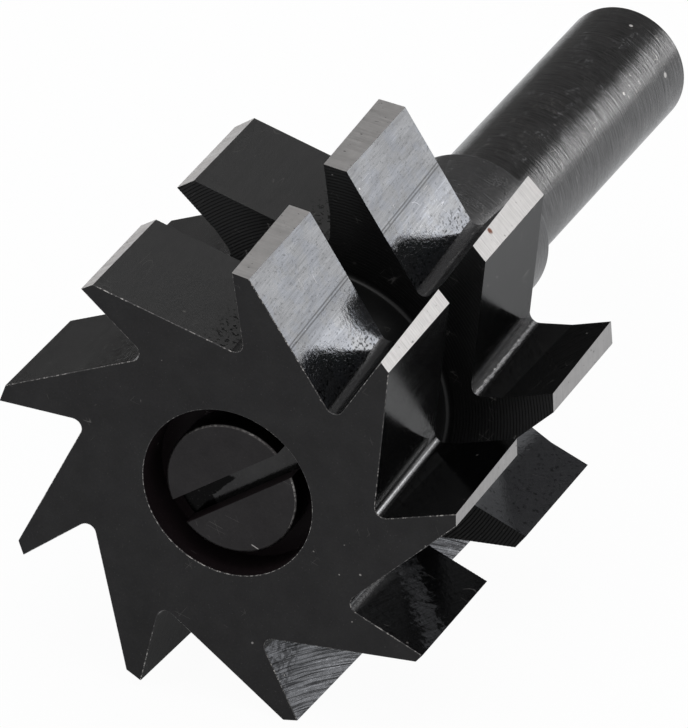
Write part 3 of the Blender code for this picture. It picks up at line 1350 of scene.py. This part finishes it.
@dataclass
class CutterHead:
    """One-piece head: two toothed wheels with a turned groove between them."""

    cutter_radius: float = 23.15 * MM
    front_wheel: float = 14.1 * MM
    groove: float = 8.6 * MM
    core_radius: float = 12.1 * MM
    groove_corner: float = 0.5 * MM
    hollow_angle: float = math.radians(2.0)
    counterbore_radius: float = 8.45 * MM
    counterbore_depth: float = 4.6 * MM
    bore_radius: float = 5.05 * MM
    teeth: int = 9
    helix: float = math.radians(2.65)
    hook: float = math.radians(9.2)
    relief: float = math.radians(8.0)
    nominal_land: float = 1.5 * MM
    looks: tuple[ToothLook, ...] = TOOTH_LOOKS
    front_face_depth: float = 7.15 * MM
    rear_face_depth: float = 4.0 * MM
    gash_depth: float = 8.5 * MM
    floor_angle: float = math.radians(1.0)
    root_radius: float = 0.9 * MM
    root_steps: int = 10
    stations: int = 9
    segments: int = 144
    ridge_pitch: float = 0.315 * MM
    ridge_depth: float = 0.04 * MM
    ridge_slope: float = 0.3
    edge_wear: float = 0.07 * MM
    overcut: float = 2.0 * MM
    rust_tooth: int = 5
    rust_from_rear: float = 10.4 * MM
    rust_from_edge: float = 0.4 * MM

    @property
    def pitch(self) -> float:
        """Return the angle from one tooth to the next."""
        return 2 * math.pi / self.teeth

    def land_line(self, tip: Vector) -> Vector:
        """Return the direction of the ground land behind a cutting edge.

        Args:
            tip: The cutting edge, in the plane across the tool.

        Returns:
            The direction, of length 1.
        """
        outward = tip.normalized()
        around = Vector((-outward.y, outward.x))
        return around * math.cos(self.relief) - outward * math.sin(self.relief)

    def edge(self, station: float) -> Vector:
        """Return the cutting edge of the tooth that lies on +X at the front.

        Args:
            station: Distance from the front face.

        Returns:
            The edge, in the plane across the tool. It shifts sideways because a gash is one
            straight pass.
        """
        shift = station * math.tan(self.helix)
        return Vector((math.sqrt(self.cutter_radius ** 2 - shift ** 2), -shift))

    def face_end(self, station: float) -> Vector:
        """Return the inner end of the ground hook face.

        Args:
            station: Distance from the front face.

        Returns:
            The point where the gash floor takes over.
        """
        change = self.rear_face_depth - self.front_face_depth
        depth = self.front_face_depth + change * station / TOOL.head_length
        return self.edge(station) + Vector((-depth, depth * math.tan(self.hook)))

    def corner(self, station: float) -> Vector:
        """Return the corner of the gash, before it is rounded.

        Args:
            station: Distance from the front face.

        Returns:
            The corner.
        """
        end = self.face_end(station)
        run = end.x - (self.cutter_radius - self.gash_depth)
        return end + Vector((-run, run * math.tan(self.floor_angle)))

    def back_line(self, land: float) -> Vector:
        """Return the direction of the back wall of a gash.

        Args:
            land: The width of the land above it, at the front.

        Returns:
            The direction, of length 1.
        """
        tip = self.edge(0.0)
        heel = tip + self.land_line(tip) * land
        return (turned(-self.pitch, heel) - self.corner(0.0)).normalized()

    def heel(self, station: float, land: float) -> Vector:
        """Return the back corner of the land of the tooth on +X.

        Args:
            station: Distance from the front face.
            land: The width of the land at the front.

        Returns:
            The corner, in the plane across the tool.
        """
        tip = self.edge(station)
        line = self.land_line(tip)
        back = turned(self.pitch, self.back_line(land))
        reach = turned(self.pitch, self.corner(station)) - tip
        return tip + line * reach.cross(back) / line.cross(back)

    def root(self, station: float, land: float) -> list[Vector]:
        """Return the rounded root in front of the tooth on +X, from the back wall to the gash floor.

        Args:
            station: Distance from the front face.
            land: The width of the land above the back wall, at the front.

        Returns:
            The points of the rounding.
        """
        corner = self.corner(station)
        back = self.back_line(land)
        floor = (self.face_end(station) - corner).normalized()
        half_angle = back.angle(floor) / 2
        centre = corner + (back + floor).normalized() * self.root_radius / math.sin(half_angle)
        tangent = self.root_radius / math.tan(half_angle)
        on_back = corner + back * tangent - centre
        on_floor = corner + floor * tangent - centre
        start = math.atan2(on_back.y, on_back.x)
        end = start - on_back.angle_signed(on_floor)
        return arc(centre, self.root_radius, start, end, self.root_steps)

    def resting_angle(self) -> float:
        """Return the turn that lays the head on its teeth.

        Returns:
            The angle that puts a cutting edge and the heel before it on the bench at the rear face.
        """
        heel = self.heel(TOOL.head_length, self.nominal_land)
        chord = self.edge(TOOL.head_length) - turned(-self.pitch, heel)
        return math.pi - math.atan2(chord.y, chord.x)

    def outline(self, station: float) -> list[Vector]:
        """Return the toothed outline.

        Args:
            station: Distance from the front face.

        Returns:
            The outline's points, one tooth after the other.
        """
        first = self.resting_angle()
        points = []
        for index in range(self.teeth):
            root = self.root(station, self.looks[index - 1].land * MM)
            heel = self.heel(station, self.looks[index].land * MM)
            tooth = [*root, self.face_end(station), self.edge(station), heel]
            points.extend(turned(first + self.pitch * index, point) for point in tooth)
        return points

    def side_zone(self, index: int) -> Zone:
        """Return the zone of the wall that starts at a point of the outline.

        Args:
            index: The point's index.

        Returns:
            The wall's zone.
        """
        place = index % (self.root_steps + 4)
        if place < self.root_steps:
            return Zone.ROOT
        return (Zone.FLOOR, Zone.RAKE, Zone.LAND, Zone.BACK)[place - self.root_steps]

    def mark_side(self, face: bmesh.types.BMFace, index: int, layers: Sequence[Any]) -> None:
        """Note on a side face which wall it is and how its oxide looks, with the painted light of its
        tone.

        Args:
            face: The face.
            index: The index of the outline's point that its wall starts at.
            layers: The layers of the gash, the tone with its painted light, the marks and the torn
                share.
        """
        zone = self.side_zone(index)
        tooth = index // (self.root_steps + 4)
        look = self.looks[tooth]
        face.material_index = zone
        # A back wall belongs to the gash of the next tooth.
        gash = float(tooth + (zone == Zone.BACK))
        for layer, value in zip(layers, (gash, *look.on(zone), look.torn)):
            face[layer] = value

    def blank(self) -> bpy.types.Object:
        """Draw the toothed outline along the head and close it at the front, in the bore and behind.

        Returns:
            The head before its groove is turned.
        """
        shape = bmesh.new()
        # The tone layer holds painted light: each wall's tone stands partly for its reflection.
        layers = [shape.faces.layers.float.new(name) for name in ("gash", "tone", "marks", "torn")]
        slope = math.tan(self.hollow_angle)
        rings = []
        for step in range(self.stations):
            station = TOOL.head_length * step / (self.stations - 1)
            hollow = 0.0 if step else slope
            corners = [(*point, station + (self.cutter_radius - point.length) * hollow)
                       for point in self.outline(station)]
            rings.append(Workshop.loop(shape, corners))
        for near, far in zip(rings, rings[1:]):
            bmesh.ops.bridge_loops(shape, edges=near + far)
        for near in rings:
            for index, edge in enumerate(near):
                for face in edge.link_faces:
                    self.mark_side(face, index, layers)
        rim_station = (self.cutter_radius - self.counterbore_radius) * slope
        made = bmesh.ops.create_circle(shape, segments=self.segments, radius=self.counterbore_radius,
                                       matrix=Matrix.Translation((0.0, 0.0, rim_station)))
        rim = list({edge for corner in made["verts"] for edge in corner.link_edges})
        self.close_face(shape, rings[0] + rim, Zone.FRONT)
        down = self.counterbore_depth - rim_station
        inward = self.bore_radius / self.counterbore_radius
        through = TOOL.head_length - self.counterbore_depth
        seat = Workshop.drawn_on(shape, rim, Zone.COUNTERBORE, shift=down)
        bore = Workshop.drawn_on(shape, seat, Zone.COUNTERBORE, scale=inward)
        end = Workshop.drawn_on(shape, bore, Zone.COUNTERBORE, shift=through)
        self.close_face(shape, rings[-1] + end, Zone.REAR)
        bmesh.ops.recalc_face_normals(shape, faces=shape.faces)
        self.wear_edges(shape, rings[0] + rim + rings[-1])
        return Workshop.object_from("cutter_head_dressed", shape)

    @staticmethod
    def close_face(shape: bmesh.types.BMesh, edges: Sequence[bmesh.types.BMEdge], zone: Zone) -> None:
        """Fill between an outline and the hole in it.

        Args:
            shape: The bmesh.
            edges: The outline's edges and the hole's.
            zone: The zone of the new faces.
        """
        made = bmesh.ops.triangle_fill(shape, use_beauty=True, edges=edges, normal=(0.0, 0.0, 1.0))
        for part in made["geom"]:
            if isinstance(part, bmesh.types.BMFace):
                part.material_index = zone

    def wear_edges(self, shape: bmesh.types.BMesh, edges: Sequence[bmesh.types.BMEdge]) -> None:
        """Take the sharpness off the rims, except where the ground lands meet the faces.

        Args:
            shape: The bmesh.
            edges: The rims.
        """
        worn = [edge for edge in edges
                if Zone.LAND not in {face.material_index for face in edge.link_faces}]
        made = bmesh.ops.bevel(shape, geom=worn, offset=self.edge_wear, offset_type="OFFSET",
                               affect="EDGES", segments=2, profile=0.5, material=-1,
                               clamp_overlap=True)
        for face in made["faces"]:
            face.material_index = Zone.WORN_EDGE

    def groove_tool(self) -> bpy.types.Object:
        """Draw the ring that is turned away between the wheels, with the tool's feed marks.

        Returns:
            The ring.
        """
        start, end = self.front_wheel, self.front_wheel + self.groove
        inner = self.core_radius + self.groove_corner
        outer = self.cutter_radius + self.overcut
        ridges = int((outer - inner) / self.ridge_pitch)
        front_wall = []
        for ridge in range(ridges, 0, -1):
            radius = inner + ridge * self.ridge_pitch
            front_wall.append((radius, start + self.ridge_depth))
            front_wall.append((radius - self.ridge_pitch * self.ridge_slope, start))
        rear_wall = [(radius, start + end - station) for radius, station in reversed(front_wall)]
        profile = [
            *front_wall,
            *arc((inner, start + self.groove_corner), self.groove_corner, 1.5 * math.pi, math.pi, 6),
            *arc((inner, end - self.groove_corner), self.groove_corner, math.pi, 0.5 * math.pi, 6),
            *rear_wall,
        ]
        profile.append(profile[0])
        shape = Workshop.spin(profile, self.segments, Zone.GROOVE_WALL)
        for face in shape.faces:
            middle = face.calc_center_median()
            if math.hypot(middle.x, middle.y) < inner:
                face.material_index = Zone.CORE
        return Workshop.object_from("groove_tool", shape)

    def finishes(self) -> list[bpy.types.Material]:
        """Make the head's materials.

        Returns:
            The materials, in the order of the zones.
        """
        black = (0.008, 0.008, 0.008)
        rake = (0.052, 0.053, 0.056)
        gash = self.gash_frame()
        made = {
            Zone.FRONT: FacedOxide("front_face_oxide", (0.0285, 0.0280, 0.0284), 0.42, 1.0),
            Zone.LAND: GroundLand("ground_land", (0.43, 0.42, 0.415), 0.44, rust=self.rust_spot()),
            Zone.BACK: MilledBack("milled_back_oxide", (0.142, 0.142, 0.142), 0.07, 0.90,
                                  glance=0.65, gash=gash),
            Zone.RAKE: MilledRake("milled_rake_oxide", rake, 0.10, 0.8, glance=0.45, gash=gash),
            Zone.FLOOR: MilledRake("gash_floor_oxide", rake, 0.08, 0.8, glance=0.6, gash=gash),
            Zone.ROOT: SmoothRoot("gash_root_oxide", (0.125, 0.125, 0.128), 0.06, 0.93, gash=gash),
            Zone.GROOVE_WALL: FacedOxide("turned_wall_oxide", black, 0.34, gloss=0.3,
                                         scratched=0.14),
            Zone.CORE: FacedOxide("groove_core_oxide", black, 0.34, gloss=0.3),
            # Painted shade in the counterbore: near-black and hardly glossy.
            Zone.COUNTERBORE: FacedOxide("counterbore_oxide_painted_shade", RECESS_SHADE, 0.40, 0.0, gloss=0.05),
            Zone.REAR: FacedOxide("rear_face_oxide", (0.0085, 0.0080, 0.0082), 0.40),
            Zone.WORN_EDGE: WornEdge("worn_edge", (0.04, 0.04, 0.041), 0.45),
        }
        return [made[zone].material() for zone in Zone]

    def gash_frame(self) -> GashFrame:
        """Work out the gashes' directions for the marks on their walls.

        Returns:
            The directions, in millimetres.
        """
        corner = self.corner(0.0) / MM
        wall = self.back_line(self.nominal_land)
        floor = (self.face_end(0.0) - self.corner(0.0)).normalized()
        middle = (wall + floor).normalized()
        return GashFrame(
            first=self.resting_angle(),
            pitch=self.pitch,
            slant=math.tan(self.helix),
            tip=self.cutter_radius / MM,
            corner=(corner.x, corner.y),
            wall=(wall.x, wall.y),
            middle=(middle.x, middle.y),
        )

    def rust_spot(self) -> tuple[float, float, float]:
        """Work out where a speck of rust sits on a rear land.

        Returns:
            The point, in millimetres in the scene's directions from the middle of the front face.
        """
        station = TOOL.head_length - self.rust_from_rear
        tip = self.edge(station)
        on_land = tip + self.land_line(tip) * self.rust_from_edge
        spot = turned(self.resting_angle() + self.rust_tooth * self.pitch, on_land) / MM
        return (spot.x, station / MM, -spot.y)

    def build(self) -> bpy.types.Object:
        """Model and dress the head.

        Returns:
            The head.
        """
        piece = self.blank()
        Workshop.empty_slots(piece, len(Zone))
        Workshop.carve(piece, self.groove_tool())
        return Workshop.finish(piece, self.finishes(), Slot.HEAD, "cutter_head", math.radians(19))


@dataclass
class Arbor:
    """Shank, collar and spigot, turned in one piece."""

    spigot_radius: float = 4.75 * MM
    collar_radius: float = 8.0 * MM
    shank_radius: float = 6.35 * MM
    collar_start: float = 37.0 * MM
    collar_end: float = 56.7 * MM
    collar_chamfer: float = 0.25 * MM
    shank_chamfer: float = 0.2 * MM
    spigot_chamfer: float = 0.4 * MM
    hole_radius: float = 3.475 * MM
    hole_end: float = 23.3 * MM
    drill_point: float = 2.1 * MM
    edge_rounding: float = 0.2 * MM
    segments: int = 128
    smears: tuple[Mark, ...] = (
        (1.6, 65.1, 6.1, 1.9),
        (2.2, 62.3, 5.95, 1.2),
        (1.1, 72.1, 6.3, 2.2),
        (5.2, 84.0, 3.6, 1.6),
    )
    flecks: tuple[Mark, ...] = ((5.98, 89.83, 2.15, 0.36), (1.82, 91.05, 6.08, 0.26))

    def profile(self) -> list[Vector]:
        """Draw the arbor's half section.

        Returns:
            Its points, from the bottom of the tapped hole round the spigot's end and along the
            outside to the end of the shank.
        """
        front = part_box("arbor")[0].y - TOOL.front
        corners = [
            (0.0, self.hole_end + self.drill_point),
            (self.hole_radius, self.hole_end),
            (self.hole_radius, front),
            (self.spigot_radius - self.spigot_chamfer, front),
            (self.spigot_radius, front + self.spigot_chamfer),
            (self.spigot_radius, self.collar_start),
            (self.collar_radius - self.collar_chamfer, self.collar_start),
            (self.collar_radius, self.collar_start + self.collar_chamfer),
            (self.collar_radius, self.collar_end - self.collar_chamfer),
            (self.collar_radius - self.collar_chamfer, self.collar_end),
            (self.shank_radius, self.collar_end),
            (self.shank_radius, TOOL.length - self.shank_chamfer),
            (self.shank_radius - self.shank_chamfer, TOOL.length),
            (0.0, TOOL.length),
        ]
        return rounded(corners, self.edge_rounding)

    def build(self) -> bpy.types.Object:
        """Model and dress the arbor.

        Returns:
            The arbor.
        """
        piece = Workshop.object_from("arbor_dressed", Workshop.spin(self.profile(), self.segments))
        collar = self.collar_radius / MM
        rims = (
            (collar, self.collar_start / MM),
            (collar, self.collar_end / MM),
            (self.shank_radius / MM, TOOL.length / MM),
        )
        finish = TurnedOxide("turned_arbor_oxide", (0.112, 0.111, 0.112), 0.17, glance=0.75,
                             worn=0.20, smears=self.smears, flecks=self.flecks, rims=rims)
        return Workshop.finish(piece, [finish.material()], Slot.ARBOR, "arbor", math.radians(40))


@dataclass
class RetainingScrew:
    """Slotted cheese-head screw in the counterbore."""

    head_radius: float = 6.55 * MM
    stem_radius: float = 3.175 * MM
    top: float = 1.3 * MM
    seat: float = 4.3 * MM
    tip: float = 20.3 * MM
    slot_width: float = 2.55 * MM
    slot_depth: float = 2.2 * MM
    slot_angle: float = math.radians(-34.0)
    head_chamfer: float = 0.25 * MM
    tip_chamfer: float = 0.8 * MM
    edge_rounding: float = 0.1 * MM
    worn_rim: Point = (-0.14, 0.10)
    nicks: tuple[Nick, ...] = ((2.4, -5.5, -0.45, 0.45),)
    segments: int = 96

    def profile(self) -> list[Vector]:
        """Draw the screw's half section.

        Returns:
            Its points, from the middle of the head to the middle of the tip.
        """
        corners = [
            (0.0, self.top),
            (self.head_radius - self.head_chamfer, self.top),
            (self.head_radius, self.top + self.head_chamfer),
            (self.head_radius, self.seat),
            (self.stem_radius, self.seat),
            (self.stem_radius, self.tip - self.tip_chamfer),
            (self.stem_radius - self.tip_chamfer, self.tip),
            (0.0, self.tip),
        ]
        return rounded(corners, self.edge_rounding)

    def slot_tool(self) -> bpy.types.Object:
        """Draw the block that is sawn out of the head.

        Returns:
            The block.
        """
        slot = bmesh.new()
        bmesh.ops.create_cube(slot, size=1.0)
        size = Vector((3 * self.head_radius, self.slot_width, 2 * self.slot_depth))
        bmesh.ops.scale(slot, vec=size, verts=slot.verts)
        spin = Matrix.Rotation(self.slot_angle, 3, "Z")
        bmesh.ops.rotate(slot, cent=(0, 0, 0), matrix=spin, verts=slot.verts)
        bmesh.ops.translate(slot, vec=(0, 0, self.top), verts=slot.verts)
        for face in slot.faces:
            deep = face.calc_center_median().z > self.top + self.slot_depth / 2
            face.material_index = ScrewZone.SLOT_FLOOR if deep else ScrewZone.SLOT_WALL
        return Workshop.object_from("slot_tool", slot)

    def finishes(self) -> list[bpy.types.Material]:
        """Make the screw's materials.

        Returns:
            The materials, in the order of the zones.
        """
        inset, below = self.worn_rim
        rims = ((self.head_radius / MM + inset, self.top / MM + below),)
        made = {
            ScrewZone.HEAD: FacedOxide("screw_oxide", (0.0295, 0.0280, 0.0286), 0.36, 1.0,
                                       rims=rims, nicks=self.nicks),
            # Painted shade on the slot walls: near-black and hardly glossy.
            ScrewZone.SLOT_WALL: FacedOxide("slot_wall_oxide_painted_shade", RECESS_SHADE, 0.50, 0.0, gloss=0.05),
            ScrewZone.SLOT_FLOOR: SlotFloor("slot_floor_oxide", (0.0385, 0.0378, 0.0380), 0.12,
                                            1.0, angle=self.slot_angle),
        }
        return [made[zone].material() for zone in ScrewZone]

    def build(self) -> bpy.types.Object:
        """Model and dress the screw.

        Returns:
            The screw.
        """
        shape = Workshop.spin(self.profile(), self.segments)
        piece = Workshop.object_from("retaining_screw_dressed", shape)
        Workshop.empty_slots(piece, len(ScrewZone))
        Workshop.carve(piece, self.slot_tool())
        sharp = math.radians(30)
        return Workshop.finish(piece, self.finishes(), Slot.SCREW, "retaining_screw", sharp)


@dataclass(frozen=True)
class Softbox:
    """Soft rectangular lamp that points at the tool from a direction."""

    name: str
    azimuth: float
    elevation: float
    distance: float
    width: float
    height: float
    radiance: float

    def build(self, aim: Vector) -> bpy.types.Object:
        """Hang the lamp.

        Args:
            aim: The point that it faces.

        Returns:
            The lamp.
        """
        data = bpy.data.lights.new(self.name, "AREA")
        data.shape = "RECTANGLE"
        data.size = self.width
        data.size_y = self.height
        data.energy = self.radiance * math.pi * self.width * self.height
        lamp = bpy.data.objects.new(self.name, data)
        away = direction(self.azimuth, self.elevation)
        lamp.location = aim + away * self.distance
        lamp.rotation_euler = away.to_track_quat("Z", "Y").to_euler()
        lamp.visible_camera = False
        bpy.context.scene.collection.objects.link(lamp)
        return lamp


def direction(azimuth: float, elevation: float) -> Vector:
    """Return the direction to something seen from the tool.

    Args:
        azimuth: Angle about the vertical, 0 in front of the tool and 90 to its right.
        elevation: Angle above the bench.

    Returns:
        The direction, of length 1.
    """
    level = math.cos(elevation)
    return Vector((math.sin(azimuth) * level, -math.cos(azimuth) * level, math.sin(elevation)))


@dataclass
class Studio:
    """Pale floor, soft light and the camera."""

    azimuth: float = math.radians(23.96)
    elevation: float = math.radians(28.54)
    distance: float = 1.1
    aim: tuple[float, float, float] = (0.00494, -0.03142, 0.02925)
    lens: float = 593.4
    floor_size: float = 8.0
    card_azimuth: float = math.radians(197)
    card_distance: float = 0.8
    card_width: float = 1.35
    card_height: float = 0.95
    card_narrow: float = 0.2
    card_colour: tuple[float, ...] = (0.252, 0.245, 0.238, 1.0)
    floor_colour: tuple[float, ...] = (0.88, 0.88, 0.88, 1.0)
    floor_shown: float = 0.96
    floor_mirrored: float = 0.3
    fill_colour: tuple[float, ...] = (0.95, 0.97, 1.0, 1.0)
    fill: float = 0.7
    lamps: list[Softbox] = field(default_factory=lambda: [
        Softbox("back_right_softbox", math.radians(147), math.radians(13.6), 0.6, 0.23, 0.26, 3.0),
        Softbox("overhead_softbox", math.radians(10), math.radians(80), 0.9, 0.6, 0.6, 1.5),
    ])

    def camera(self) -> None:
        """Set up the camera at the photograph's angle."""
        data = bpy.data.cameras.new("camera")
        data.lens = self.lens
        data.sensor_width = 36.0
        data.clip_start = 0.05
        data.clip_end = 50.0
        camera = bpy.data.objects.new("camera", data)
        back = direction(self.azimuth, self.elevation)
        camera.location = Vector(self.aim) + back * self.distance
        camera.rotation_euler = back.to_track_quat("Z", "Y").to_euler()
        bpy.context.scene.collection.objects.link(camera)
        bpy.context.scene.camera = camera

    def seen(self, graph: Graph) -> Socket:
        """Return 1 for the rays that show the background.

        Args:
            graph: The graph to read in.

        Returns:
            The wrapped value.
        """
        through = graph.ray("Is Transmission Ray")
        return (graph.ray("Is Camera Ray") + graph.ray("Is Glossy Ray") + through).smaller(1.0)

    def world(self) -> None:
        """Light the scene from all round, and show white behind it."""
        world = bpy.data.worlds.new("studio")
        world.use_nodes = True
        graph = Graph(world.node_tree)
        soft = {"Color": self.fill_colour, "Strength": self.fill}
        fill = graph.node("ShaderNodeBackground", {}, soft)
        white = graph.node("ShaderNodeBackground", {}, {"Color": WHITE, "Strength": 1.0})
        mixed = graph.node("ShaderNodeMixShader", {}, {0: self.seen(graph), 1: fill, 2: white})
        graph.node("ShaderNodeOutputWorld", {}, {"Surface": mixed})
        bpy.context.scene.world = world

    def floor(self) -> None:
        """Lay the pale floor."""
        shape = bmesh.new()
        bmesh.ops.create_grid(shape, x_segments=1, y_segments=1, size=self.floor_size / 2)
        plane = Workshop.object_from("floor", shape)
        material, graph = new_material("pale_floor")
        camera, glossy = graph.ray("Is Camera Ray"), graph.ray("Is Glossy Ray")
        matt = graph.node("ShaderNodeBsdfDiffuse", {}, {"Color": self.floor_colour})
        white = graph.node("ShaderNodeEmission", {}, {"Color": WHITE, "Strength": 1.0})
        share = camera * self.floor_shown + glossy * self.floor_mirrored
        mixed = graph.node("ShaderNodeMixShader", {}, {0: share, 1: matt, 2: white})
        graph.node("ShaderNodeOutputMaterial", {}, {"Surface": mixed})
        plane.data.materials.append(material)

    def dark_card(self) -> None:
        """Fold a dark card behind the tool on its left, which only shows in polished metal."""
        shape = bmesh.new()
        half = self.card_width / 2
        near, far = self.card_distance * self.card_narrow, self.card_distance
        low = [shape.verts.new((side * near / far, near, 0.0)) for side in (-half, half)]
        fold = bmesh.ops.extrude_edge_only(shape, edges=[shape.edges.new(low)])["geom"]
        corners = [part for part in fold if isinstance(part, bmesh.types.BMVert)]
        bmesh.ops.scale(shape, vec=(far / near, far / near, 1.0), verts=corners)
        edge = [part for part in fold if isinstance(part, bmesh.types.BMEdge)]
        top = bmesh.ops.extrude_edge_only(shape, edges=edge)["geom"]
        corners = [part for part in top if isinstance(part, bmesh.types.BMVert)]
        bmesh.ops.translate(shape, vec=(0, 0, self.card_height), verts=corners)
        card = Workshop.object_from("dark_card", shape)
        card.location = (0.0, 0.0, 0.5 * MM)
        card.rotation_euler = (0.0, 0.0, self.card_azimuth - math.pi)
        card.visible_camera = False
        card.visible_diffuse = False
        card.visible_shadow = False
        material, graph = new_material("dark_card")
        matt = graph.node("ShaderNodeBsdfDiffuse", {}, {"Color": self.card_colour})
        graph.node("ShaderNodeOutputMaterial", {}, {"Surface": matt})
        card.data.materials.append(material)

    def build(self) -> None:
        """Set up everything round the tool."""
        self.camera()
        self.world()
        self.floor()
        self.dark_card()
        centre = TOOL.origin + Vector((0.0, TOOL.head_length / 2, 0.0))
        for lamp in self.lamps:
            lamp.build(centre)
        bpy.context.scene.view_settings.view_transform = "Standard"


def main() -> None:
    """Build every piece and the studio."""
    logging.basicConfig(level=logging.INFO, format="%(name)s: %(message)s")
    Studio().build()
    CutterHead().build()
    Arbor().build()
    RetainingScrew().build()


if __name__ == "__main__":
    main()
